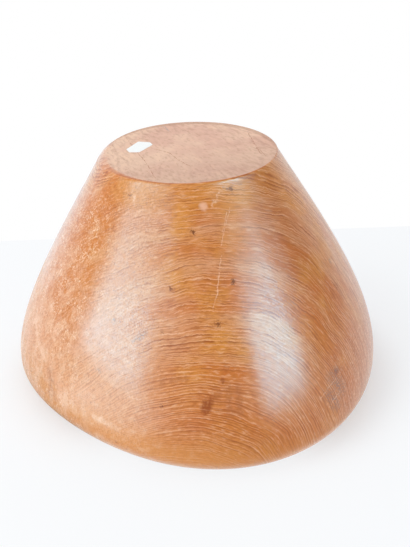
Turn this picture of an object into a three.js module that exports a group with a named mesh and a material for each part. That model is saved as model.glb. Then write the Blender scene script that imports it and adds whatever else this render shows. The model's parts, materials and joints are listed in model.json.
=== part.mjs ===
// A wooden salad bowl turned from one block of teak, standing upside down on its rim.
// Millimetres, +Z up. The origin is on the rim plane, in the middle of the bowl's extent, and the foot
// faces up.
import * as THREE from 'three';

// Outer form of the bowl.
const bowlHeight = 210;
const widestRadius = 160;
const widestHeight = 24;
const footRadius = 72;
const footEdgeRounding = 1.5;

// Angle of the wall to the vertical where it leaves the foot, in degrees.
const footWallLean = 24;

// How far each end of the wall runs nearly straight before it bends.
const wallRunAtFoot = 16;
const wallRunAtWidest = 53;

// The lip curls in under the widest ring and ends in a narrow flat land.
const lipReach = 31;
const lipRunAtWidest = 12;
const lipRunAtRim = 16;
const rimLandWidth = 3;

// Inner form of the bowl.
const wallThickness = 12;
const floorThickness = 20;
const floorFilletHeight = 34;
const floorFilletReach = 30;

// The bowl has dried out of round. Its plan is an oval, with three soft corners on top of that, and each
// stands out from the circle by this much at the rim. The angle is of the oval's long axis and of one
// corner. The foot has stayed round, and its centre is beside the rim's.
const rimOval = 2.7;
const rimOvalAngle = -19;
const rimCorners = 7.4;
const rimCornerAngle = 46;
const footSidestep = -5;

// A small blank paper price label on the foot, with bowed short ends. Its place is from the foot's centre.
const labelLength = 24.5;
const labelWidth = 12.8;
const labelEndBow = 2.2;
const labelThickness = 0.2;
const labelCentreX = -39.5;
const labelCentreY = 10.5;
const labelAngle = 59;

// Steps of the facets.
const stepsAround = 64;
const stepsOnFootEdge = 2;
const stepsOnWall = 12;
const stepsOnLip = 7;
const stepsOnRimEdge = 5;
const stepsOnInnerLip = 5;
const stepsOnInnerWall = 8;
const stepsOnFillet = 4;
const stepsOnLabelEnd = 6;

const degrees = THREE.MathUtils.degToRad;
const point = (x, y) => new THREE.Vector2(x, y);

// The profile is drawn as radius against height, from the foot's centre over the outside to the
// rim, and back up the inside to the floor's centre.
function outerProfile() {
  const lean = degrees(footWallLean);
  const footCorner = point(footRadius, bowlHeight);
  const downTheWall = point(Math.sin(lean), -Math.cos(lean));
  const edgeOnFoot = point(footRadius - footEdgeRounding, bowlHeight);
  const wallTop = footCorner.clone().addScaledVector(downTheWall, footEdgeRounding);
  const widest = point(widestRadius, widestHeight);
  const landOuter = point(widestRadius - lipReach, 0);

  const footEdge = new THREE.QuadraticBezierCurve(edgeOnFoot, footCorner, wallTop);
  const wall = new THREE.CubicBezierCurve(
    wallTop,
    wallTop.clone().addScaledVector(downTheWall, wallRunAtFoot),
    point(widestRadius, widestHeight + wallRunAtWidest),
    widest
  );
  const lip = new THREE.CubicBezierCurve(
    widest,
    point(widestRadius, widestHeight - lipRunAtWidest),
    point(landOuter.x + lipRunAtRim, 0),
    landOuter
  );
  return [
    point(0, bowlHeight),
    ...footEdge.getPoints(stepsOnFootEdge),
    ...wall.getPoints(stepsOnWall).slice(1),
    ...lip.getPoints(stepsOnLip).slice(1)
  ];
}

// The height of a point on a curve that climbs all the way, found by halving.
function placeAtHeight(curve, height) {
  let low = 0;
  let high = 1;
  for (let halving = 0; halving < 40; halving += 1) {
    const middle = (low + high) / 2;
    if (curve.getPoint(middle).y < height) low = middle;
    else high = middle;
  }
  return low;
}

function innerProfile() {
  const lean = degrees(footWallLean);
  const downTheWall = point(Math.sin(lean), -Math.cos(lean));
  const intoTheWood = point(-Math.cos(lean), -Math.sin(lean));
  const edgeRadius = wallThickness / 2;
  const landInner = widestRadius - lipReach - rimLandWidth;
  const floorHeight = bowlHeight - floorThickness;

  // The rim ends in a half round of the wall's own thickness.
  const rimEdge = new THREE.ArcCurve(landInner, edgeRadius, edgeRadius, -Math.PI / 2, Math.PI / 2, true);

  const innerWidest = point(widestRadius - wallThickness, widestHeight);
  const innerLip = new THREE.CubicBezierCurve(
    point(landInner + rimLandWidth, wallThickness),
    point(landInner + rimLandWidth + lipRunAtRim / 2, wallThickness),
    point(innerWidest.x, widestHeight - lipRunAtWidest),
    innerWidest
  );
  const innerTop = point(footRadius, bowlHeight).addScaledVector(intoTheWood, wallThickness);
  const innerWall = new THREE.CubicBezierCurve(
    innerWidest,
    point(innerWidest.x, widestHeight + wallRunAtWidest),
    innerTop.clone().addScaledVector(downTheWall, wallRunAtFoot),
    innerTop
  );

  // The wall turns into the floor by a fillet that leaves it at its own slope.
  const filletPlace = placeAtHeight(innerWall, floorHeight - floorFilletHeight);
  const filletStart = innerWall.getPoint(filletPlace);
  const slope = innerWall.getTangent(filletPlace);
  const corner = filletStart.clone().addScaledVector(slope, floorFilletHeight / slope.y);
  const fillet = new THREE.QuadraticBezierCurve(
    filletStart,
    corner,
    point(corner.x - floorFilletReach, floorHeight)
  );
  const wallPoints = [];
  for (let step = 1; step < stepsOnInnerWall; step += 1) {
    wallPoints.push(innerWall.getPoint((filletPlace * step) / stepsOnInnerWall));
  }
  return [
    ...rimEdge.getPoints(stepsOnRimEdge),
    ...innerLip.getPoints(stepsOnInnerLip),
    ...wallPoints,
    ...fillet.getPoints(stepsOnFillet),
    point(0, floorHeight)
  ];
}

// Draws every ring out of round, fully at the rim and not at all at the foot, and moves the rings
// sideways, not at all at the rim and fully at the foot.
function dryOutOfRound(geometry) {
  const position = geometry.attributes.position;
  for (let index = 0; index < position.count; index += 1) {
    const x = position.getX(index);
    const y = position.getY(index);
    const z = position.getZ(index);
    const towardsRim = 1 - z / bowlHeight;
    const turn = Math.atan2(y, x);
    const oval = rimOval * Math.cos(2 * (turn - degrees(rimOvalAngle)));
    const corners = rimCorners * Math.cos(3 * (turn - degrees(rimCornerAngle)));
    const stretch = 1 + (towardsRim * (oval + corners)) / widestRadius;
    const sidestep = footSidestep * (1 - towardsRim);
    position.setXYZ(index, x * stretch + sidestep, y * stretch, z);
  }
  geometry.computeVertexNormals();
}

function makeBowl() {
  const profile = [...outerProfile(), ...innerProfile()];
  const geometry = new THREE.LatheGeometry(profile.reverse(), stepsAround);
  geometry.rotateX(Math.PI / 2);
  dryOutOfRound(geometry);
  const teak = new THREE.MeshStandardMaterial({ color: 0xc07a44, roughness: 0.35, metalness: 0 });
  const bowl = new THREE.Mesh(geometry, teak);
  bowl.name = 'bowl';
  return bowl;
}

// The label's outline, centred on its own middle, with its length along X.
function labelOutline() {
  const cornerX = labelLength / 2 - labelEndBow;
  const cornerY = labelWidth / 2;
  const outline = new THREE.Shape();
  outline.moveTo(-cornerX, -cornerY);
  outline.lineTo(cornerX, -cornerY);
  outline.quadraticCurveTo(cornerX + 2 * labelEndBow, 0, cornerX, cornerY);
  outline.lineTo(-cornerX, cornerY);
  outline.quadraticCurveTo(-cornerX - 2 * labelEndBow, 0, -cornerX, -cornerY);
  return outline;
}

function makeLabel() {
  const geometry = new THREE.ExtrudeGeometry(labelOutline(), {
    depth: labelThickness,
    bevelEnabled: false,
    curveSegments: stepsOnLabelEnd
  });
  const paper = new THREE.MeshStandardMaterial({ color: 0xf4f3ee, roughness: 0.6, metalness: 0 });
  const label = new THREE.Mesh(geometry, paper);
  label.name = 'price_label';
  label.position.set(footSidestep + labelCentreX, labelCentreY, bowlHeight);
  label.rotation.z = degrees(labelAngle);
  return label;
}

const bowl = makeBowl();
const label = makeLabel();
bowl.geometry.computeBoundingBox();
const middle = bowl.geometry.boundingBox.getCenter(new THREE.Vector3());

const saladBowl = new THREE.Group();
saladBowl.add(bowl, label);
saladBowl.position.set(-middle.x, -middle.y, 0);

export default saladBowl;
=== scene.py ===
"""A wooden salad bowl standing upside down on its rim, with a paper price label on its foot."""

import json
import math

import bpy
import numpy as np
from mathutils import Matrix, Vector
from mathutils.bvhtree import BVHTree

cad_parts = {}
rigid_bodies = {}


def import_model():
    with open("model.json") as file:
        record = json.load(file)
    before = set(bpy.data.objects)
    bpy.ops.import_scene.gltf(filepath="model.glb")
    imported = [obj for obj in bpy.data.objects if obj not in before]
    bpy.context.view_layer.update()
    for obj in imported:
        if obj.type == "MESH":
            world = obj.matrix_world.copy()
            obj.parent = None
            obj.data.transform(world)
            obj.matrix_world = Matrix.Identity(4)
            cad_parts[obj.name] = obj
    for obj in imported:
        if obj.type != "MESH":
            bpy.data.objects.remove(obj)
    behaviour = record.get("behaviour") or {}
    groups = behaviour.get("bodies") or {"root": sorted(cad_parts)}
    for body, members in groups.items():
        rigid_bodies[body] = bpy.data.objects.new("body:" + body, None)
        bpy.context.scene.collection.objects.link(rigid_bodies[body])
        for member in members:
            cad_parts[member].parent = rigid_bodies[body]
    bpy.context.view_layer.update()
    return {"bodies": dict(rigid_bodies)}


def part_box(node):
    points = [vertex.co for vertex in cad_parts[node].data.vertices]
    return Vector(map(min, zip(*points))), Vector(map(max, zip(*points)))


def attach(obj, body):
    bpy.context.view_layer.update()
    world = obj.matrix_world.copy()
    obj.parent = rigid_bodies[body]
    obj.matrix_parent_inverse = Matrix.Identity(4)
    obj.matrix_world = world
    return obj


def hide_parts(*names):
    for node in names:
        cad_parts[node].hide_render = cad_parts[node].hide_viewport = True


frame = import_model()

MM = 0.001
BODY = next(iter(frame["bodies"]))

# Sizes of the bowl in millimetres, as in the solid. The foot's height comes from the frame.
foot_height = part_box("bowl")[1].z / MM
widest_radius = 160.0
widest_height = 24.0
foot_radius = 72.0
foot_edge_rounding = 1.5
wall_lean = math.radians(24)
wall_run_at_foot = 16.0
wall_run_at_widest = 53.0
lip_reach = 31.0
lip_run_at_widest = 12.0
lip_run_at_rim = 16.0
rim_land_width = 3.0
wall_thickness = 12.0
floor_thickness = 20.0
floor_fillet_height = 34.0
floor_fillet_reach = 30.0
rim_oval = 2.7
rim_oval_angle = math.radians(-19)
rim_corners = 7.4
rim_corner_angle = math.radians(46)
foot_sidestep = -5.0

# Directions in the profile, as radius and height, where the wall leaves the foot.
down_the_wall = np.array([math.sin(wall_lean), -math.cos(wall_lean)])
into_the_wood = np.array([-math.cos(wall_lean), -math.sin(wall_lean)])

# Points on the curves of the profile, many more than the rows of the mesh that are picked from them.
wall_points = 400
lip_points = 200
inner_lip_points = 120
fillet_points = 80
rim_edge_points = 40

# The solid's facets cut inside the true round, so the fine surface is drawn this much smaller in plan.
inside_facets = 0.9985

# The camera, found from the outline in the photograph's 410 x 547 pixel frame. Millimetres.
photo_width = 410.0
photo_height = 547.0
focal_length_pixels = 800.0
sensor_width = 36.0
camera_x = 10.2
camera_distance = 613.6
camera_height = 435.6
camera_pitch = math.radians(28.89)
camera_roll = math.radians(-2.1)


def bezier(points, count):
    """Points on a cubic or quadratic curve, evenly spaced along its parameter."""
    t = np.linspace(0, 1, count)[:, None]
    points = [np.array(p, float)[None, :] for p in points]
    while len(points) > 1:
        points = [(1 - t) * a + t * b for a, b in zip(points, points[1:])]
    return points[0] * np.ones((count, 1))


def evenly_spaced(line, step):
    """The same line with its points a constant step apart."""
    length = np.concatenate([[0], np.cumsum(np.linalg.norm(np.diff(line, axis=0), axis=1))])
    count = max(2, int(round(length[-1] / step)) + 1)
    place = np.linspace(0, length[-1], count)
    return np.stack([np.interp(place, length, line[:, k]) for k in (0, 1)], axis=1)


def outer_wall():
    """From the foot's sharp corner to the widest ring, as radius and height."""
    corner = np.array([foot_radius, foot_height])
    top = corner + foot_edge_rounding * down_the_wall
    widest = np.array([widest_radius, widest_height])
    wall = bezier([top, top + wall_run_at_foot * down_the_wall,
                   widest + [0, wall_run_at_widest], widest], wall_points)
    return np.vstack([corner, wall])


def outer_lip():
    """From the widest ring down and in to the rim's land."""
    widest = np.array([widest_radius, widest_height])
    land = np.array([widest_radius - lip_reach, 0.0])
    return bezier([widest, widest - [0, lip_run_at_widest],
                   land + [lip_run_at_rim, 0], land], lip_points)


def inner_line():
    """From the rim's land round the edge, up the inside and over the floor to its centre."""
    half = wall_thickness / 2
    land_inner = widest_radius - lip_reach - rim_land_width
    turn = np.linspace(-math.pi / 2, -3 * math.pi / 2, rim_edge_points)
    edge = np.stack([land_inner + half * np.cos(turn), half + half * np.sin(turn)], axis=1)
    inner_widest = np.array([widest_radius - wall_thickness, widest_height])
    start = np.array([land_inner + rim_land_width, wall_thickness])
    lip = bezier([start, start + [lip_run_at_rim / 2, 0],
                  inner_widest - [0, lip_run_at_widest], inner_widest], inner_lip_points)
    top = np.array([foot_radius, foot_height]) + wall_thickness * into_the_wood
    wall = bezier([inner_widest, inner_widest + [0, wall_run_at_widest],
                   top + wall_run_at_foot * down_the_wall, top], wall_points)
    floor_height = foot_height - floor_thickness
    wall = wall[wall[:, 1] < floor_height - floor_fillet_height]
    slope = wall[-1] - wall[-2]
    corner = wall[-1] + slope * floor_fillet_height / slope[1]
    fillet_end = [corner[0] - floor_fillet_reach, floor_height]
    fillet = bezier([wall[-1], corner, fillet_end], fillet_points)
    return np.vstack([edge, lip, wall, fillet[1:], [[0.0, floor_height]]])


# Growth rings, in millimetres. The log lay along this direction in plan, its pith falls and bends a
# little along it, and each ring's centre drifts away from the pith as the tree grows.
log_turn = math.radians(26)
pith_x = -119.2
pith_z = -134.8
pith_fall = math.tan(math.radians(-14))
pith_bend = 2.6
pith_bend_reach = 100.0
ring_squash = 0.80
drift_up = 0.515
drift_across = 0.45
middling_ring = 130.0


def log_frame(points):
    """Distance along the log, across it and above the pith, for points in millimetres."""
    x, y, z = points[:, 0] - pith_x, points[:, 1], points[:, 2]
    along = x * math.sin(log_turn) - y * math.cos(log_turn)
    across = x * math.cos(log_turn) + y * math.sin(log_turn)
    over_pith = z - pith_z + pith_fall * along - pith_bend * (along / pith_bend_reach) ** 2
    above = over_pith * ring_squash
    return along, across, above


def ring_radius(across, above):
    """The size of the growth ring through each point: circles whose centres drift as they grow."""
    drift = drift_up ** 2 + drift_across ** 2
    lean = drift_up * above + drift_across * across
    root = np.sqrt(lean ** 2 + (1 - drift) * (across ** 2 + above ** 2))
    return (root - lean) / (1 - drift)


def place_round_ring(across, above):
    """How far round its ring a point lies, in millimetres on a ring of a middling size."""
    radius = ring_radius(across, above)
    turn = np.arctan2(across + drift_across * radius, above + drift_up * radius)
    return turn * middling_ring


# Steps of the fine mesh, in millimetres along the profile and in columns round the bowl.
columns = 320
column_angles = np.linspace(0, 2 * math.pi, columns, endpoint=False)
foot_step = 3.0
corner_step = 0.35
corner_reach = 9.0
wall_step = 1.6
lip_step = 1.2
inner_step = 4.0

# The foot's edge is crisp on the right and worn round on the left. The varnish comes a little way over
# it onto the foot, in front and on the worn side. Millimetres.
crisp_edge = 1.2
worn_edge = 7.0
worn_side = math.radians(185)
worn_side_focus = 3
varnish_in_front = 1.2
varnish_on_worn_side = 5.0


def on_the_worn_side(angle):
    return np.clip(np.cos(angle - worn_side), 0, 1) ** worn_side_focus


def edge_wear(angle):
    """How far the rounding of the foot's edge reaches on each side of the corner."""
    return crisp_edge + (worn_edge - crisp_edge) * on_the_worn_side(angle)


def varnish_reach(angle):
    """How far the varnish comes over the foot's edge onto the foot."""
    front = np.clip(-np.sin(angle), 0, 1)
    return varnish_in_front * front + varnish_on_worn_side * on_the_worn_side(angle)


def out_of_round(radius, height, angle):
    """Plan places on a ring that has dried out of round, fully at the rim and not at all at the foot."""
    toward_rim = 1 - height / foot_height
    oval = rim_oval * np.cos(2 * (angle - rim_oval_angle))
    corners = rim_corners * np.cos(3 * (angle - rim_corner_angle))
    reach = radius * (1 + toward_rim * (oval + corners) / widest_radius)
    sidestep = foot_sidestep * (1 - toward_rim)
    return reach * np.cos(angle) + sidestep, reach * np.sin(angle)


def profile_rows():
    """Rows of the fine mesh: radius, height, and the distance past the foot's corner."""
    wall = outer_wall()
    near = evenly_spaced(wall, corner_step)
    near = near[: int(corner_reach / corner_step)]
    far = evenly_spaced(wall, wall_step)
    far = far[int(corner_reach / wall_step) + 1:]
    disc_inner = np.arange(foot_step, foot_radius - corner_reach, foot_step)
    disc_outer = np.arange(foot_radius - corner_reach, foot_radius, corner_step)
    disc = np.concatenate([disc_inner, disc_outer])
    foot_rows = np.stack([disc, np.full(len(disc), foot_height)], axis=1)
    lip = evenly_spaced(outer_lip(), lip_step)[1:]
    inner = evenly_spaced(inner_line(), inner_step)
    rows = np.vstack([foot_rows, near, far, lip, inner[:-1]])
    steps = np.linalg.norm(np.diff(rows, axis=0), axis=1)
    length = np.concatenate([[0], np.cumsum(steps)])
    return rows, length - length[len(foot_rows)]


def bowl_surface():
    """Vertex places of the fine mesh, row by row, and how far each row is past the foot's corner."""
    rows, past_corner = profile_rows()
    radius = np.repeat(rows[:, :1], columns, axis=1)
    height = np.repeat(rows[:, 1:], columns, axis=1)
    reach = edge_wear(column_angles)[None, :]
    place = past_corner[:, None]
    turning = np.abs(place) < reach
    t = np.clip((place + reach) / (2 * reach), 0, 1)
    round_radius = foot_radius - reach * (1 - t) ** 2 + reach * down_the_wall[0] * t ** 2
    round_height = foot_height + reach * down_the_wall[1] * t ** 2
    radius = np.where(turning, round_radius, radius)
    height = np.where(turning, round_height, height)
    x, y = out_of_round(radius, height, column_angles[None, :])
    x -= (x.min() + x.max()) / 2
    y -= (y.min() + y.max()) / 2
    return np.stack([x * inside_facets, y * inside_facets, height], axis=2), past_corner


def grid_faces(row_count):
    """Quads between neighbouring rows of a closed tube, then fans to the two end points."""
    faces = []
    for row in range(row_count - 1):
        low = row * columns
        high = low + columns
        for column in range(columns):
            after = (column + 1) % columns
            faces.append((low + column, high + column, high + after, low + after))
    first_centre = row_count * columns
    last_centre = first_centre + 1
    last = (row_count - 1) * columns
    for column in range(columns):
        after = (column + 1) % columns
        faces.append((first_centre, column, after))
        faces.append((last_centre, last + after, last + column))
    return faces


def set_values(mesh, name, values):
    values_on_mesh = mesh.attributes.new(name, "FLOAT", "POINT")
    values_on_mesh.data.foreach_set("value", np.asarray(values, np.float32))


def add_object(name, data):
    piece = bpy.data.objects.new(name, data)
    bpy.context.scene.collection.objects.link(piece)
    return piece


def bare_wood(past_corner):
    """How bare each point of the grid is, from 0 under the varnish to 1 on the foot."""
    border = past_corner[:, None] + varnish_reach(column_angles)[None, :]
    return np.clip(0.5 - border / (2 * edge_wear(column_angles)[None, :]), 0, 1).ravel()


def build_bowl():
    """The bowl, whose mesh carries its growth rings, and its surface for rays to meet."""
    grid, past_corner = bowl_surface()
    foot_centre = grid[0].mean(axis=0)
    floor_centre = foot_centre - [0, 0, floor_thickness]
    points = np.vstack([grid.reshape(-1, 3), foot_centre, floor_centre])
    places = (points * MM).tolist()
    faces = grid_faces(len(grid))
    mesh = bpy.data.meshes.new("turned_bowl")
    mesh.from_pydata(places, [], faces)
    mesh.polygons.foreach_set("use_smooth", [True] * len(mesh.polygons))
    along, across, above = log_frame(points)
    set_values(mesh, "ring", ring_radius(across, above))
    set_values(mesh, "along", along)
    set_values(mesh, "round_ring", place_round_ring(across, above))
    bare_at_foot, bare_at_floor = 1.0, 0.0
    set_values(mesh, "bare", [*bare_wood(past_corner), bare_at_foot, bare_at_floor])
    return add_object("turned_bowl", mesh), BVHTree.FromPolygons(places, faces)


class Value:
    """A socket of a shader tree that can be used in sums, so that a formula reads as one."""

    def __init__(self, socket):
        self.tree = socket.id_data
        self.socket = socket

    def worked(self, operation, other=None, clamp=False):
        node = self.tree.nodes.new("ShaderNodeMath")
        node.operation = operation
        node.use_clamp = clamp
        plug(node.inputs[0], self)
        if other is not None:
            plug(node.inputs[1], other)
        return Value(node.outputs[0])

    def __add__(self, other):
        return self.worked("ADD", other)

    def __sub__(self, other):
        return self.worked("SUBTRACT", other)

    def __mul__(self, other):
        return self.worked("MULTIPLY", other)

    def __truediv__(self, other):
        return self.worked("DIVIDE", other)

    def other_way(self):
        """One less the value."""
        return self * -1.0 + 1.0

    def fract(self):
        return self.worked("FRACT")

    def floor(self):
        return self.worked("FLOOR")

    def most(self, other):
        return self.worked("MAXIMUM", other)

    def ramp(self, low, high):
        """Smoothly from 0 below low to 1 above high, or the other way round where low is the larger."""
        node = self.tree.nodes.new("ShaderNodeMapRange")
        node.interpolation_type = "SMOOTHSTEP"
        plug(node.inputs["Value"], self)
        node.inputs["From Min"].default_value = min(low, high)
        node.inputs["From Max"].default_value = max(low, high)
        node.inputs["To Min"].default_value = 1.0 if low > high else 0.0
        node.inputs["To Max"].default_value = 0.0 if low > high else 1.0
        return Value(node.outputs["Result"])

    def between(self, at_none, at_full):
        """From at_none where the value is 0 to at_full where it is 1."""
        return self * (at_full - at_none) + at_none

    def within(self, absent_below, full_from, full_to, absent_above):
        """Smoothly from 0 up to 1 and down to 0 again, over the four places."""
        return self.ramp(absent_below, full_from) * self.ramp(absent_above, full_to)


def plug(socket, value):
    """Links a Value to a socket, or sets the socket's own number, vector or colour."""
    if isinstance(value, Value):
        value.tree.links.new(value.socket, socket)
    else:
        socket.default_value = value


def tree_of(*values):
    return next(value.tree for value in values if isinstance(value, Value))


def attribute(tree, name):
    node = tree.nodes.new("ShaderNodeAttribute")
    node.attribute_type = "GEOMETRY"
    node.attribute_name = name
    return Value(node.outputs["Fac"])


def combine(x, y, z):
    node = tree_of(x, y, z).nodes.new("ShaderNodeCombineXYZ")
    for index, value in enumerate((x, y, z)):
        plug(node.inputs[index], value)
    return Value(node.outputs[0])


def vector_math(operation, first, second=None, third=None):
    node = tree_of(first, second, third).nodes.new("ShaderNodeVectorMath")
    node.operation = operation
    plug(node.inputs[0], first)
    if second is not None:
        plug(node.inputs["Scale" if operation == "SCALE" else 1], second)
    if third is not None:
        plug(node.inputs[2], third)
    gives_number = operation in ("LENGTH", "DISTANCE", "DOT_PRODUCT")
    return Value(node.outputs["Value" if gives_number else 0])


def place_in_millimetres(tree):
    """The point's place in the part's own frame, as a vector."""
    coordinates = tree.nodes.new("ShaderNodeTexCoord")
    return vector_math("SCALE", Value(coordinates.outputs["Object"]), 1 / MM)


def split(vector):
    node = vector.tree.nodes.new("ShaderNodeSeparateXYZ")
    plug(node.inputs[0], vector)
    return [Value(node.outputs[index]) for index in range(3)]


def azimuth_of(x, y):
    """Degrees from straight in front to the right, as seen from above."""
    return x.worked("ARCTAN2", y * -1.0) * math.degrees(1)


def noise_node(vector, size, detail):
    node = vector.tree.nodes.new("ShaderNodeTexNoise")
    plug(node.inputs["Vector"], vector)
    node.inputs["Scale"].default_value = 1 / size
    node.inputs["Detail"].default_value = detail
    return node


def noise(vector, size, detail=2.0):
    """Noise around 0.5 whose lumps are about size across, in the vector's own unit."""
    return Value(noise_node(vector, size, detail).outputs["Fac"])


def shaking(place, size, detail):
    """Noise with a direction, up to half a unit long along each axis."""
    node = noise_node(place, size, detail)
    return vector_math("SUBTRACT", Value(node.outputs["Color"]), (0.5, 0.5, 0.5))


def moved(place, direction, distance):
    return vector_math("ADD", place, vector_math("SCALE", direction, distance))


def mix_colour(factor, first, second):
    """The second colour laid over the first, as fully as the factor says."""
    node = factor.tree.nodes.new("ShaderNodeMix")
    node.data_type = "RGBA"
    node.clamp_factor = True
    plug(node.inputs[0], factor)
    for socket, colour in zip((node.inputs[6], node.inputs[7]), (first, second)):
        plug(socket, colour if isinstance(colour, Value) else (*colour, 1.0))
    return Value(node.outputs[2])


def new_material(name):
    """A material, its tree and the shader in it."""
    material = bpy.data.materials.new(name)
    material.use_nodes = True
    tree = material.node_tree
    return material, tree, tree.nodes["Principled BSDF"]


def bump(height, distance, below=None):
    """A bump from a height between 0 and 1, where 1 stands distance millimetres proud."""
    node = height.tree.nodes.new("ShaderNodeBump")
    node.inputs["Distance"].default_value = distance * MM
    plug(node.inputs["Height"], height)
    if below is not None:
        plug(node.inputs["Normal"], below)
    return Value(node.outputs["Normal"])


# Marks on the wood. Each is a spot at one place, or a line along several, in pixels of the photograph's
# 410 x 547 frame, with its width in millimetres.
pin_knots = {
    "below_the_foot": ([(231, 189)], 9.2),
    "left_of_the_middle": ([(193, 232)], 10.1),
    "on_the_middle": ([(233, 282)], 8.4),
    "beside_the_left_light": ([(171, 289)], 7.9),
    "low_on_the_middle": ([(218, 324)], 11),
    "under_the_left_edge": ([(130, 195)], 7),
    "in_the_left_light": ([(114, 263)], 4.8),
    "small_low": ([(162, 406)], 6.2),
    "small_middle": ([(162, 332)], 5.7),
    "lowest_left": ([(116, 442)], 4.8),
}
brown_patches = {
    "large": ([(208, 402), (206, 410)], 15),
    "large_above": ([(212, 397)], 9),
    "above_it": ([(222, 381)], 8),
    "on_the_right": ([(336, 371)], 11),
}
faint_patches = {
    "beside_the_large": ([(209, 403), (219, 394)], 9),
    "streak_one": ([(228, 384), (231, 414)], 10),
    "streak_two": ([(238, 386), (240, 412)], 9),
    "left_of_them": ([(172, 380), (186, 378)], 8),
    "far_left": ([(161, 382), (164, 380)], 7),
    "low_on_the_left": ([(50, 372), (53, 392)], 16),
    "lowest_on_the_left": ([(49, 391), (55, 398)], 9),
}
grey_stains = {
    "streak_in_the_light": ([(134, 341), (146, 334)], 5),
    "soft_in_the_light": ([(99, 371)], 7.5),
    "above_it": ([(114, 321)], 7.5),
    "on_the_right": ([(336, 370)], 13),
    "right_cloud": ([(333, 378), (341, 388)], 24),
    "right_cloud_below": ([(329, 394), (336, 404)], 19),
    "high_on_the_right": ([(330, 261)], 9),
    "beside_the_top_knot": ([(225, 188), (230, 189)], 4),
}
worn_places = {
    "blotch_top": ([(219, 193), (216, 200), (212, 206)], 3),
    "beside_the_left_knot": ([(135, 195), (134, 202)], 3),
    "left_wear": ([(36, 322), (38, 340), (45, 360)], 8),
    "lower_wear": ([(94, 417), (110, 425)], 9),
    "dash": ([(129, 397), (141, 400)], 3),
}
chips = {
    "below_the_foot": ([(203.5, 206.5)], 9),
    "beside_it": ([(213, 200)], 2.4),
}
scratches = {
    "scratch_top": ([(230, 207), (225, 228), (221, 246)], 0.9),
    "scratch_beside_it": ([(227, 212), (222, 234)], 0.8),
    "scratch_middle": ([(221, 256), (219, 272), (217, 297)], 1.1),
    "scratch_bottom": ([(217, 294), (213, 310)], 0.9),
    "curved_scratch": ([(85, 243), (95, 237), (111, 233)], 1),
    "right_scratch": ([(336, 378), (329, 387), (321, 398)], 1),
    "right_scratch_below": ([(340, 391), (333, 401), (329, 408)], 1),
}
foot_cracks = {
    "beside_the_label": ([(124, 135), (138, 153), (147, 164), (155, 178)], 0.8),
    "at_the_right": ([(248, 133), (254, 143), (260, 153), (272, 165)], 0.9),
    "right_branch": ([(254, 143), (266, 156)], 0.5),
    "wavy": ([(156, 149), (170, 153), (178, 160), (190, 166)], 0.8),
}
pen_mark = {"at_the_back": ([(161, 126), (165, 127), (169, 131)], 1.3)}


def photo_ray(camera, pixel):
    """The direction in which the camera sees a pixel of the photograph."""
    across = (pixel[0] - photo_width / 2) / focal_length_pixels
    up = (photo_height / 2 - pixel[1]) / focal_length_pixels
    return (camera.matrix_world.to_3x3() @ Vector((across, up, -1))).normalized()


def places_on_surface(camera, surface, marks):
    """The marks' places on the bowl in millimetres, where the camera sees each pixel."""
    found = []
    for pixels, width in marks.values():
        rays = [photo_ray(camera, pixel) for pixel in pixels]
        hits = [surface.ray_cast(camera.matrix_world.translation, ray)[0] / MM for ray in rays]
        found.append((hits, width))
    return found


def stroke(place, start, end, width, core):
    """A mask of 1 on the line from start to end and over the core share of its width, 0 past its width.
    A spot has no end."""
    nearest = start
    if end is not None:
        run = end - start
        rate = run / run.length_squared
        share = vector_math("DOT_PRODUCT", place, rate)
        share = share.worked("SUBTRACT", start.dot(rate), clamp=True)
        nearest = vector_math("MULTIPLY_ADD", run, share, start)
    return vector_math("DISTANCE", place, nearest).ramp(width / 2, width / 2 * core)


def all_strokes(place, marks, core):
    """One mask for all the marks of a kind."""
    mask = None
    for places, width in marks:
        ends = places[1:] or [None]
        for start, end in zip(places, ends):
            one = stroke(place, start, end, width, core)
            mask = one if mask is None else mask.most(one)
    return mask


# Colours of the wood.
orange_wood = (0.58, 0.158, 0.022)
glowing_wood = (0.60, 0.178, 0.020)
pink_wood = (0.66, 0.300, 0.135)
golden_wood = (0.66, 0.245, 0.036)
# Painted light: the lighter colour of the left side, where the lamp's light falls.
lit_left_wood = (0.73, 0.345, 0.160)
dark_line_wood = (0.30, 0.055, 0.005)
dark_grain_wood = (0.41, 0.100, 0.010)
pale_line_wood = (0.82, 0.470, 0.270)
knot_wood = (0.14, 0.032, 0.006)
patch_wood = (0.30, 0.060, 0.008)
faint_patch_wood = (0.38, 0.110, 0.030)
stain_grey = (0.22, 0.15, 0.13)
scuffed_wood = (0.88, 0.590, 0.400)
blush_wood = (0.80, 0.440, 0.280)
chipped_wood = (0.80, 0.430, 0.270)
bare_pink = (0.69, 0.425, 0.325)
bare_gold = (0.78, 0.540, 0.400)
bare_dull = (0.55, 0.340, 0.255)
bare_dark = (0.42, 0.220, 0.150)
pen_grey = (0.36, 0.33, 0.34)

# The distance from one growth ring to the next, in millimetres. Short bends of the rings fade toward
# the rim of the bowl, over these heights and to this share.
ring_pitch = 1.15
unsteady_heights = (50.0, 130.0)
least_unsteady = 0.3

# Across one ring, from 0 at its start to 1 at its end, the dark line comes and goes over four places,
# and the pale line and the pores of early wood fade over two. The dark line has fewer breaks near the
# rim.
dark_part = (0.35, 0.85, 0.90, 1.0)
pale_part = (0.36, 0.10)
pore_part = (0.5, 0.1)
unbroken_heights = (125.0, 60.0)
unbroken_near_rim = 0.75

# Bands of pink along the rings: their width in millimetres, and how many times longer they are along
# the log and round the rings.
band_width = 10
band_longer_along = 9
band_longer_round = 14
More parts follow.
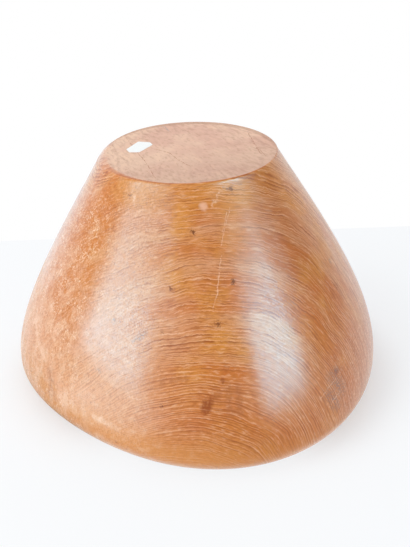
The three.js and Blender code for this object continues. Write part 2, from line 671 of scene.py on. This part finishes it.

# Zones of the bowl, each as the places over which it fades in or out, or in and out again. Azimuths are
# in degrees from straight in front to the right, and heights in millimetres over the rim.
# The left window's highlight falls over these azimuths. The wood there is painted pinker, less golden and
# calmer, as painted highlight.
left_highlight_azimuths = (-54, -40, -22, -6)
pink_heights = (50, 150)
pink_near_rim = 0.22
golden_heights = (40, 120)
golden_near_rim = 0.4
golden_under_left_highlight = 0.2
worn_azimuths = (-138, -102, -52, -28)
worn_heights = (203, 176)
glowing_azimuths = (-84, -66, -50, -36)
glowing_heights = (60, 125)
dark_right_azimuths = (32, 43, 52, 64)
dark_right_heights = (115, 150)
stained_azimuths = (36, 50)
stained_heights = (62, 34)
calm_heights = (52, 20)
under_foot_heights = (184, 198)
blush_heights = (170, 110)
pale_streak_heights = (125, 75)

# Over the foot, in millimetres from its middle or along an axis.
outer_foot = (25, 66)
# The painted shade along the foot's back edge lies between these distances from its middle.
back_edge_shade_radii = (68.5, 70.5)

# How far marks are shaken out of their drawn lines, and the size of the shaking, in millimetres. A thin
# line is fully there over this share of its width.
shake_size = 2.5
fine_shake_size = 4 / 3
shaken_by = 2.6
smeared_by = 5
finely_shaken_by = 6
line_core = 0.3

# Roughness of the wood, and how much each kind of surface adds to it.
least_rough = 0.28
rougher_by_wear = 0.12
rougher_by_scuff = 0.15
rougher_when_bare = 0.35
rougher_by_curls = 0.10
rougher_by_grit = 0.16

# The varnish's own roughness, its least thickness and what grit and wear add to that, and the share of
# it that is left over dark lines and knots.
varnish_roughness = 0.23
least_varnish = 0.25
varnish_by_grit = 0.6
varnish_by_wear = 0.3
varnish_on_lines = 0.65
varnish_on_knots = 0.15
wood_specular = 0.3

# Depths of the wood's relief, in millimetres.
swell_depth = 0.5
chip_depth = 0.35
grit_depth = 0.05
grain_depth = 0.06


class Teak:
    """The bowl's wood, built up in layers, each laid over the colours before it."""

    def __init__(self, marks):
        self.material, self.tree, self.shader = new_material("turned_teak")
        self.marks = marks
        self.colour = orange_wood
        self.place = place_in_millimetres(self.tree)
        self.x, self.y, self.z = split(self.place)
        self.ring = attribute(self.tree, "ring")
        self.along = attribute(self.tree, "along")
        self.round_ring = attribute(self.tree, "round_ring")

    def lay(self, share, colour, cover=None):
        """Lays a colour over what is there. At its strongest it hides the share of it that cover says."""
        if cover is not None:
            share = share * cover
        self.colour = mix_colour(share, self.colour, colour)

    def patches(self, size, detail, start, full):
        """Patches with lumps of a size in millimetres, by the noise at which they start and are full."""
        return noise(self.place, size, detail).ramp(start, full)

    def streaks(self, places, lengths, detail):
        """Noise drawn out to its own length in millimetres along each of three places."""
        spot = [place / length for place, length in zip(places, lengths)]
        return noise(combine(*spot), 1.0, detail)

    def on_each_ring(self, step, along, turn, start, full):
        """Noise of its own on every ring, by the step from one ring to the next, the length in
        millimetres over which it changes along the log, and its turn round the ring."""
        spot = combine(self.rings.floor() * step, self.along / along, turn)
        return noise(spot, 1.0).ramp(start, full)

    def stray(self, spot, size, detail, reach):
        """How far bends of a size take the rings from their place, in millimetres."""
        return (noise(spot, size, detail) - 0.5) * reach

    def strokes(self, place, kind, core=0):
        return all_strokes(place, self.marks[kind], core)

    def draw_rings(self):
        """Each ring darkens towards its end and starts again with a thin pale line. Every ring has its
        own strength, which also changes along it."""
        wander = self.stray(self.place, size=60, detail=1, reach=7)
        waver = self.stray(self.place, size=22, detail=0.5, reach=1.8)
        quiver = self.stray(self.place, size=6.5, detail=1, reach=1)
        jag = self.stray(self.place, size=2.2, detail=1, reach=0.6)
        unsteady = self.z.ramp(*unsteady_heights).between(least_unsteady, 1)
        bent = self.ring + wander + waver + (quiver + jag) * unsteady
        self.spaced = bent + self.stray(combine(bent, 0, 0), size=9, detail=1, reach=6)
        self.rings = self.spaced / ring_pitch
        self.phase = self.rings.fract()
        near_rim = self.z.ramp(*unbroken_heights) * unbroken_near_rim
        whole = self.on_each_ring(step=0.37, along=8, turn=self.round_ring / 8, start=0.40, full=0.58)
        dark = self.on_each_ring(step=0.83, along=50, turn=self.round_ring / 60, start=0.32, full=0.66)
        pale_turn = self.round_ring / 50 + 9
        pale = self.on_each_ring(step=0.71, along=40, turn=pale_turn, start=0.38, full=0.68)
        self.dark_line = self.phase.within(*dark_part) * dark * whole.most(near_rim)
        self.pale_line = self.phase.ramp(*pale_part) * pale

    def lay_broad_colours(self):
        """Broad bands of colour follow the rings, and clouds of colour do not. Under the left window's
        highlight the wood is painted pinker and less golden, as painted highlight. The left side is
        painted lighter, as painted light from the lamp on the left, and the wood near the lip is calmer."""
        spot = combine(self.spaced, self.along / band_longer_along, self.round_ring / band_longer_round)
        band = noise(spot, band_width, 2)
        cloud = self.patches(size=42, detail=3, start=0.46, full=0.66)
        self.azimuth = azimuth_of(self.x, self.y)
        self.under_left_highlight = self.azimuth.within(*left_highlight_azimuths)
        pinkness = band.ramp(0.38, 0.66) * self.z.ramp(*pink_heights).between(pink_near_rim, 1)
        # Under the left window's highlight the wood is painted pinker and less golden: painted highlight.
        self.lay(pinkness.most(self.under_left_highlight * 0.60), pink_wood)
        golden = cloud * self.under_left_highlight.between(1, golden_under_left_highlight)
        self.lay(golden * self.z.ramp(*golden_heights).between(golden_near_rim, 1), golden_wood)
        # The left side is painted lighter: painted light from the lamp on the left.
        lit_left = (self.x + self.y * 0.25 + self.z * 0.5).ramp(30, -115)
        self.lay(lit_left, lit_left_wood, cover=0.75)
        self.calm = (self.z + self.x * 0.12).ramp(*calm_heights)
        self.lay(self.calm, golden_wood, cover=0.80)
        under_foot = self.z.ramp(*under_foot_heights) * self.y.ramp(-10, -45)
        self.lay(under_foot, golden_wood, cover=0.70)
        glowing = self.patches(size=15, detail=3, start=0.37, full=0.53)
        glowing = glowing * self.azimuth.within(*glowing_azimuths) * self.z.ramp(*glowing_heights)
        dark_right = self.azimuth.within(*dark_right_azimuths) * self.z.ramp(*dark_right_heights)
        self.lay(glowing, glowing_wood, cover=0.95)
        self.lay(dark_right, dark_grain_wood, cover=0.35)

    def lay_grain(self):
        """Short streaks of grain, and the dark and pale lines of the rings. Both are quieter where the
        wood is worn, and near the lip. Under the left window's highlight they are painted quieter too, as
        painted highlight."""
        grain = self.streaks((self.spaced, self.along, self.round_ring), lengths=(0.6, 4, 4), detail=2)
        self.worn_left = self.azimuth.within(*worn_azimuths) * self.z.ramp(*worn_heights)
        # The rings are painted quieter under the left window's highlight: painted highlight.
        quiet = (self.worn_left * 0.65).most(self.under_left_highlight * 0.4).other_way()
        dark_grain = grain.ramp(0.50, 0.28) * self.calm.between(0.56, 0.18)
        self.lay(dark_grain * quiet, dark_grain_wood)
        self.lay(grain.ramp(0.52, 0.74) * self.calm.between(0.54, 0.20), pale_line_wood)
        dark_share = self.dark_line * quiet * self.calm.between(1, 0.25)
        self.lay(dark_share, dark_line_wood, cover=0.82)
        self.lay(self.pale_line * quiet * self.calm.between(0.62, 0.32), pale_line_wood)

    def lay_wear(self):
        """Wear on the left: pale clouds, thin curls in patches, and specks both pale and dark. There are
        also specks on the stained lower right, and under the left window's highlight, where they are
        painted sparkle of the highlight."""
        upright = (self.x, self.y, self.z)
        curl_source = self.streaks(upright, lengths=(3, 3, 5.5), detail=2) - 0.5
        curls = curl_source.worked("ABSOLUTE").ramp(0.040, 0.010)
        curl_zone = self.patches(size=12, detail=2, start=0.40, full=0.58) * self.worn_left
        curl_parts = self.patches(size=1.7, detail=1, start=0.36, full=0.54)
        self.flecks = curls * curl_zone * curl_parts
        specks = self.streaks(upright, lengths=(1.3, 1.3, 2.6), detail=2)
        toward_left = (self.x + self.y * 0.2 + self.z * 0.5).ramp(10, -90)
        mottle = self.patches(size=7, detail=4, start=0.52, full=0.70) * toward_left
        blush = self.patches(size=19, detail=2, start=0.46, full=0.62)
        blush = blush * self.worn_left * self.z.ramp(*blush_heights)
        pale = self.streaks(upright, lengths=(8, 8, 26), detail=3).ramp(0.50, 0.64)
        pale = pale * self.worn_left * self.z.ramp(*pale_streak_heights)
        self.lay(blush, blush_wood, cover=0.34)
        self.lay(pale, scuffed_wood, cover=0.36)
        self.lay(mottle, scuffed_wood, cover=0.34)
        low_on_the_right = (self.z - self.x * 0.25).ramp(*stained_heights)
        stained_side = self.azimuth.ramp(*stained_azimuths) * low_on_the_right
        # Under the left window's highlight these specks are painted sparkle of the highlight.
        specks_and_sparkle = (self.worn_left * 0.75).most(self.under_left_highlight * 0.55).most(stained_side * 0.70)
        self.lay(specks.ramp(0.46, 0.30) * specks_and_sparkle, dark_grain_wood, cover=0.60)
        self.lay(specks.ramp(0.54, 0.70) * specks_and_sparkle, scuffed_wood, cover=0.42)
        self.lay(self.flecks, scuffed_wood, cover=0.95)

    def lay_pores(self):
        """Open pores run with the log, most of them where a ring starts."""
        pores = self.streaks((self.ring, self.round_ring, self.along), lengths=(0.55, 0.55, 7), detail=1)
        self.pore = pores.ramp(0.60, 0.70) * self.phase.ramp(*pore_part).between(0.4, 1)
        # Under the left window's highlight the pores are painted stronger, as painted sparkle of the
        # highlight.
        self.lay(self.pore * self.under_left_highlight.between(0.30, 0.55), dark_line_wood)

    def lay_marks(self):
        """Knots, patches, stains, scratches, wear and chips, at their own places."""
        jitter = shaking(self.place, shake_size, detail=3)
        self.shaken = moved(self.place, jitter, shaken_by)
        smeared = moved(self.place, jitter, smeared_by)
        fine_jitter = shaking(self.place, fine_shake_size, detail=2)
        ragged = moved(self.shaken, fine_jitter, finely_shaken_by)
        knot_place = self.strokes(ragged, "pin_knots")
        self.knot = knot_place.ramp(0.62, 0.90)
        broken = self.patches(size=1.5, detail=2, start=0.35, full=0.60)
        blotchy = self.patches(size=5, detail=3, start=0.30, full=0.50)
        faint = self.strokes(smeared, "faint_patches") * broken.between(0.5, 1) * blotchy
        self.lay(faint, faint_patch_wood, cover=0.55)
        patch = self.strokes(smeared, "brown_patches").ramp(0.15, 0.75)
        patch = patch * broken.between(0.6, 1) * blotchy.between(0.5, 1)
        self.lay(patch, patch_wood, cover=0.85)
        self.lay(knot_place * broken, faint_patch_wood, cover=0.80)
        speckled = self.patches(size=1.2, detail=2, start=0.44, full=0.60)
        stain = self.strokes(smeared, "grey_stains") * speckled.between(0.15, 1)
        self.lay(stain, stain_grey, cover=0.62)
        self.lay(self.knot, knot_wood, cover=0.78)
        scratch = self.strokes(self.shaken, "scratches", line_core)
        wear = self.strokes(smeared, "worn_places")
        self.scuff = (scratch * 0.6).most(wear * 0.6) * broken.between(0.4, 1)
        self.lay(self.scuff, scuffed_wood)
        self.chip = self.strokes(self.shaken, "chips", line_core)
        self.lay(self.chip, chipped_wood, cover=0.90)

    def lay_bare_foot(self):
        """The foot is bare wood, and the varnish starts past its edge with a dark line."""
        bare_share = attribute(self.tree, "bare")
        edge_noise = noise(self.place, size=3, detail=3) - 0.5
        self.bare = (bare_share + edge_noise * 0.35).ramp(0.30, 0.58)
        first_varnish = bare_share.ramp(0, 0.14) * self.bare.other_way()
        edge_parts = self.patches(size=8, detail=2, start=0.30, full=0.55)
        edge_line = first_varnish * self.y.ramp(-20, -50) * edge_parts
        self.lay(edge_line, dark_grain_wood, cover=0.80)
        from_centre = vector_math("LENGTH", combine(self.x, self.y, 0))
        outer = from_centre.ramp(*outer_foot)
        with_the_log = (self.ring, self.round_ring, self.along)
        streak = self.streaks(with_the_log, lengths=(1.3, 1.1, 30), detail=3)
        fine_streak = self.streaks(with_the_log, lengths=(0.7, 0.7, 16), detail=2)
        varnished = self.colour
        self.colour = bare_pink
        self.lay(self.patches(size=34, detail=3, start=0.35, full=0.65), bare_gold)
        # The foot is made duller towards the front and the right.
        duller_front_right = (self.y * -1 + self.x * 0.45).ramp(-30, 75)
        self.lay(duller_front_right, bare_dull, cover=0.66)
        self.lay(streak.ramp(0.47, 0.66) * outer.between(0.06, 0.32), bare_dark)
        self.lay(streak.ramp(0.48, 0.30), scuffed_wood, cover=0.18)
        self.lay(fine_streak.ramp(0.52, 0.70), bare_dark, cover=0.34)
        self.lay(self.strokes(self.shaken, "foot_cracks", line_core), dark_line_wood, cover=0.65)
        self.lay(self.strokes(self.shaken, "pen_mark", line_core), pen_grey, cover=0.60)
        # Painted shade along the foot's back edge, where its rounding turns away from the light.
        shaded_back_edge = from_centre.ramp(*back_edge_shade_radii) * self.y.ramp(-10, 30)
        self.lay(shaded_back_edge, bare_dark, cover=0.45)
        self.colour = mix_colour(self.bare, varnished, self.colour)

    def finish(self):
        """The varnish is satin, duller where it is scuffed and slightly rough all over. The bare foot is
        matt."""
        inputs = self.shader.inputs
        plug(inputs["Base Color"], self.colour)
        grit = noise(self.place, size=1.3, detail=2)
        worn = noise(self.place, size=6, detail=3)
        rough = worn * rougher_by_wear + self.scuff * rougher_by_scuff + self.bare * rougher_when_bare
        rough = rough + self.flecks * rougher_by_curls + grit * rougher_by_grit + least_rough
        plug(inputs["Roughness"], rough)
        thickness = grit.ramp(0.34, 0.62) * varnish_by_grit + worn * varnish_by_wear + least_varnish
        varnish = self.bare.other_way() * thickness * self.dark_line.between(1, varnish_on_lines)
        plug(inputs["Coat Weight"], varnish * self.knot.between(1, varnish_on_knots))
        inputs["Coat Roughness"].default_value = varnish_roughness
        inputs["Specular IOR Level"].default_value = wood_specular
        swollen = bump(noise(self.place, size=26, detail=1), swell_depth)
        dented = bump(self.chip.other_way(), chip_depth, swollen)
        gritty = bump(grit, grit_depth, dented)
        height = self.dark_line * -0.5 + self.pore * -0.4 + 1
        plug(inputs["Normal"], bump(height, grain_depth, gritty))


def teak_material(marks):
    wood = Teak(marks)
    wood.draw_rings()
    wood.lay_broad_colours()
    wood.lay_grain()
    wood.lay_wear()
    wood.lay_pores()
    wood.lay_marks()
    wood.lay_bare_foot()
    wood.finish()
    return wood.material


# The label's paper: its two whites, and the size and depth of its fibres in millimetres.
paper_grey = (0.83, 0.84, 0.83)
paper_white = (0.89, 0.89, 0.88)
fibre_size = 0.6
fibre_depth = 0.02
smoothest_paper = 0.5
roughest_paper = 0.7


def paper_material():
    material, tree, shader = new_material("label_paper")
    fibre = noise(place_in_millimetres(tree), fibre_size, 4)
    plug(shader.inputs["Base Color"], mix_colour(fibre.ramp(0.35, 0.65), paper_grey, paper_white))
    plug(shader.inputs["Roughness"], fibre.between(smoothest_paper, roughest_paper))
    plug(shader.inputs["Normal"], bump(fibre, fibre_depth))
    return material


# The blank label's corners on the foot, in millimetres from the foot's centre. Its ends are pointed.
label_corners = [(-51.0, 5.7), (-48.1, -1.6), (-39.8, -2.1), (-29.7, 14.8), (-32.2, 20.6), (-42.2, 23.5)]
label_thickness = 0.2
label_corner_rounding = 0.8
label_corner_pull = 0.25
foot_middle = Vector((0.52, 4.47))


def label_outline():
    """The label's corners, each cut off slightly round."""
    outline = []
    for index, corner in enumerate(label_corners):
        here = Vector(corner)
        after_index = (index + 1) % len(label_corners)
        before = (Vector(label_corners[index - 1]) - here).normalized() * label_corner_rounding
        after = (Vector(label_corners[after_index]) - here).normalized() * label_corner_rounding
        outline += [here + before, here + (before + after) * label_corner_pull, here + after]
    return [point + foot_middle for point in outline]


def make_label():
    """A thin sheet lying on the foot."""
    outline = label_outline()
    low = [(*point, foot_height) for point in outline]
    high = [(*point, foot_height + label_thickness) for point in outline]
    total = len(outline)
    sides = [(i, (i + 1) % total, total + (i + 1) % total, total + i) for i in range(total)]
    under = tuple(reversed(range(total)))
    top = tuple(range(total, 2 * total))
    mesh = bpy.data.meshes.new("blank_label")
    mesh.from_pydata([[value * MM for value in point] for point in low + high], [], [under, top] + sides)
    return add_object("blank_label", mesh)


def give(piece, material):
    piece.data.materials.append(material)


# The nearest and the farthest that the camera sees, in metres.
nearest_seen = 0.05
farthest_seen = 50.0


def make_camera():
    """The photograph's camera. It looks towards the back and down, and is rolled a little."""
    camera_data = bpy.data.cameras.new("camera")
    camera_data.sensor_width = sensor_width
    camera_data.lens = focal_length_pixels * sensor_width / photo_height
    camera_data.clip_start = nearest_seen
    camera_data.clip_end = farthest_seen
    camera = add_object("camera", camera_data)
    backward = Vector((0, -math.cos(camera_pitch), math.sin(camera_pitch)))
    upward = Vector((0, math.sin(camera_pitch), math.cos(camera_pitch)))
    right = Vector((1, 0, 0))
    rolled_right = right * math.cos(camera_roll) + upward * math.sin(camera_roll)
    rolled_up = upward * math.cos(camera_roll) - right * math.sin(camera_roll)
    turn = Matrix((rolled_right, rolled_up, backward)).transposed().to_4x4()
    spot = Vector((camera_x, -camera_distance, camera_height)) * MM
    camera.matrix_world = Matrix.Translation(spot) @ turn
    bpy.context.scene.camera = camera
    bpy.context.view_layer.update()
    return camera


# The table reaches this far to the sides, the front and the back, in metres. Its far edge shows in the
# photograph a little above the bowl's middle.
table_side = 3.0
table_front = -2.5
table_back = 0.278
table_paint = (0.89, 0.92, 0.95, 1)
table_roughness = 0.8
table_specular = 0.1

# What the camera sees of the table is this share of its own white, and shadow for the rest. Near the
# bowl there is less of it, in front of the bowl more, and at the bowl's sides a dark line of contact.
table_white = (0.950, 0.962, 0.978)
own_white = 0.77
less_near = 0.14
more_in_front = 0.27
contact_shadow = 0.24

# What gloss sees of the table: how bright it is everywhere, and how much more in each place. Under the
# window on the left it is cool.
table_cool = (0.50, 0.80, 0.96)
gloss_everywhere = 0.25
gloss_under_window = 3.4
gloss_on_the_right = 0.8
gloss_behind = 0.75
gloss_close_in_front = 0.8


def make_table():
    """A pale table top. What the camera sees of it is mostly its own white, with the shadow over it."""
    material, tree, shader = new_material("pale_table")
    shader.inputs["Base Color"].default_value = table_paint
    shader.inputs["Roughness"].default_value = table_roughness
    shader.inputs["Specular IOR Level"].default_value = table_specular
    path = tree.nodes.new("ShaderNodeLightPath")
    seen = Value(path.outputs["Is Camera Ray"])
    mirrored = Value(path.outputs["Is Glossy Ray"])
    x, y, _ = split(place_in_millimetres(tree))
    azimuth = azimuth_of(x, y)
    off_centre = vector_math("LENGTH", combine(x, y, 0))
    to_either_side = azimuth.worked("ABSOLUTE")

    under_window = azimuth.within(-78, -58, -38, -20) * off_centre.ramp(165, 225)
    on_the_right = azimuth.ramp(15, 65) * gloss_on_the_right
    behind = y.ramp(-120, 60) * gloss_behind
    close_in_front = off_centre.ramp(230, 170) * to_either_side.ramp(60, 28)
    in_gloss = under_window * gloss_under_window + on_the_right.most(behind) + gloss_everywhere
    in_gloss = in_gloss + close_in_front * gloss_close_in_front
    glow = tree.nodes.new("ShaderNodeEmission")
    plug(glow.inputs["Color"], mix_colour(mirrored * under_window, table_white, table_cool))
    plug(glow.inputs["Strength"], mirrored * (in_gloss - 1) + 1)

    near = off_centre.ramp(300, 170)
    in_front = azimuth.within(-80, -35, 10, 90)
    contact = off_centre.ramp(200, 165) * to_either_side.ramp(25, 55) * contact_shadow
    share = near * (in_front * more_in_front - less_near) + own_white - contact
    blend = tree.nodes.new("ShaderNodeMixShader")
    plug(blend.inputs[0], seen * share + mirrored)
    tree.links.new(shader.outputs[0], blend.inputs[1])
    tree.links.new(glow.outputs[0], blend.inputs[2])
    tree.links.new(blend.outputs[0], tree.nodes["Material Output"].inputs["Surface"])

    corners = [(-table_side, table_front, 0), (table_side, table_front, 0),
               (table_side, table_back, 0), (-table_side, table_back, 0)]
    mesh = bpy.data.meshes.new("table")
    mesh.from_pydata(corners, [], [(0, 1, 2, 3)])
    mesh.materials.append(material)
    table = add_object("table", mesh)


# Two soft windows and two paler curtains beside them, which only gloss sees: the edges of each in
# degrees of azimuth, from straight in front of the bowl to the right, and of elevation, the width over
# which they fade, and how far they lean over as they rise.
left_window = {"azimuth": (-85, -48), "elevation": (-19, 21), "fade": (8, 14),
               "slant": 0.5, "strength": 12.7}
left_curtain = {"azimuth": (-78, -22), "elevation": (20, 52), "fade": (12, 12),
                "slant": 0.0, "strength": 3.9}
right_window = {"azimuth": (34, 68), "elevation": (3, 29), "fade": (8, 11),
                "slant": 0.0, "strength": 17.0}
right_curtain = {"azimuth": (66, 86), "elevation": (12, 27), "fade": (12, 10),
                 "slant": 0.0, "strength": 3.5}
window_tint = (0.24, 0.71, 1.0)
white = (1, 1, 1)

# The light of the room from the sides and from overhead. Gloss sees a much darker one, which is brighter
# behind the bowl.
room_at_side = 0.52
room_overhead = 1.07
mirrored_room = 0.12
mirrored_behind_left = 1.35
mirrored_behind_right = 0.85
cool_behind_left = 0.6


def between_edges(angle, edges, fade):
    """1 between two angles and 0 outside them, fading over each edge."""
    low, high = edges
    half = fade / 2
    return angle.within(low - half, low + half, high - half, high + half)


def window_light(azimuth, elevation, window):
    """A window whose sides lean over as they rise, brightest in its middle."""
    fade_across, fade_up = window["fade"]
    across = azimuth - elevation * window["slant"]
    inside = between_edges(across, window["azimuth"], fade_across)
    return inside * between_edges(elevation, window["elevation"], fade_up) * window["strength"]


def make_world():
    """The camera sees plain white. The rest of the scene sees a room that is brighter overhead, and gloss
    sees windows in a darker one."""
    world = bpy.data.worlds.new("studio")
    bpy.context.scene.world = world
    world.use_nodes = True
    tree = world.node_tree
    background = tree.nodes["Background"]
    path = tree.nodes.new("ShaderNodeLightPath")
    seen = Value(path.outputs["Is Camera Ray"])
    gloss = Value(path.outputs["Is Glossy Ray"])
    coordinates = tree.nodes.new("ShaderNodeTexCoord")
    to_right, away, up = split(Value(coordinates.outputs["Generated"]))
    azimuth = azimuth_of(to_right, away)
    elevation = up.worked("ARCSINE") * math.degrees(1)

    room = up.ramp(0.0, 1.0).between(room_at_side, room_overhead)
    behind_left = azimuth.ramp(-82.0, -140.0) * mirrored_behind_left
    behind_right = azimuth.ramp(102.0, 140.0) * mirrored_behind_right
    mirrored = behind_left + behind_right + mirrored_room
    windows = window_light(azimuth, elevation, left_window)
    for window in (right_window, left_curtain, right_curtain):
        windows = windows + window_light(azimuth, elevation, window)
    strength = gloss * (mirrored + windows - room) + room
    strength = seen * strength.other_way() + strength
    plug(background.inputs["Strength"], strength)
    cool = (windows + behind_left * cool_behind_left).ramp(0.0, 2.0)
    tint = mix_colour(gloss * cool * seen.other_way(), white, window_tint)
    plug(background.inputs["Color"], tint)


# The one lamp: its direction from the bowl in degrees, its distance, its width and the height at which it
# looks in metres, and its power in watts.
lamp_azimuth = math.radians(-58)
lamp_elevation = math.radians(37)
lamp_distance = 2.2
lamp_width = 1.4
lamp_looks_at = 0.1
lamp_power = 17.3


def make_lamp():
    """A soft round lamp that looks at the bowl and isn't mirrored in it."""
    data = bpy.data.lights.new("key_left", "AREA")
    data.shape = "DISK"
    data.size = lamp_width
    data.energy = lamp_power
    lamp = add_object("key_left", data)
    to_right = math.sin(lamp_azimuth) * math.cos(lamp_elevation)
    to_back = -math.cos(lamp_azimuth) * math.cos(lamp_elevation)
    away = Vector((to_right, to_back, math.sin(lamp_elevation)))
    lamp.location = away * lamp_distance + Vector((0, 0, lamp_looks_at))
    lamp.rotation_mode = "QUATERNION"
    lamp.rotation_quaternion = away.to_track_quat("Z", "Y")
    lamp.visible_glossy = False


camera = make_camera()
bowl, surface = build_bowl()
all_marks = {"pin_knots": pin_knots, "brown_patches": brown_patches,
             "faint_patches": faint_patches, "grey_stains": grey_stains,
             "scratches": scratches, "worn_places": worn_places, "chips": chips,
             "foot_cracks": foot_cracks, "pen_mark": pen_mark}
placed = {kind: places_on_surface(camera, surface, marks) for kind, marks in all_marks.items()}
give(bowl, teak_material(placed))
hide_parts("bowl")
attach(bowl, BODY)

label = make_label()
give(label, paper_material())
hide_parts("price_label")
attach(label, BODY)

make_table()
make_world()
make_lamp()

bpy.context.scene.view_settings.view_transform = "Standard"
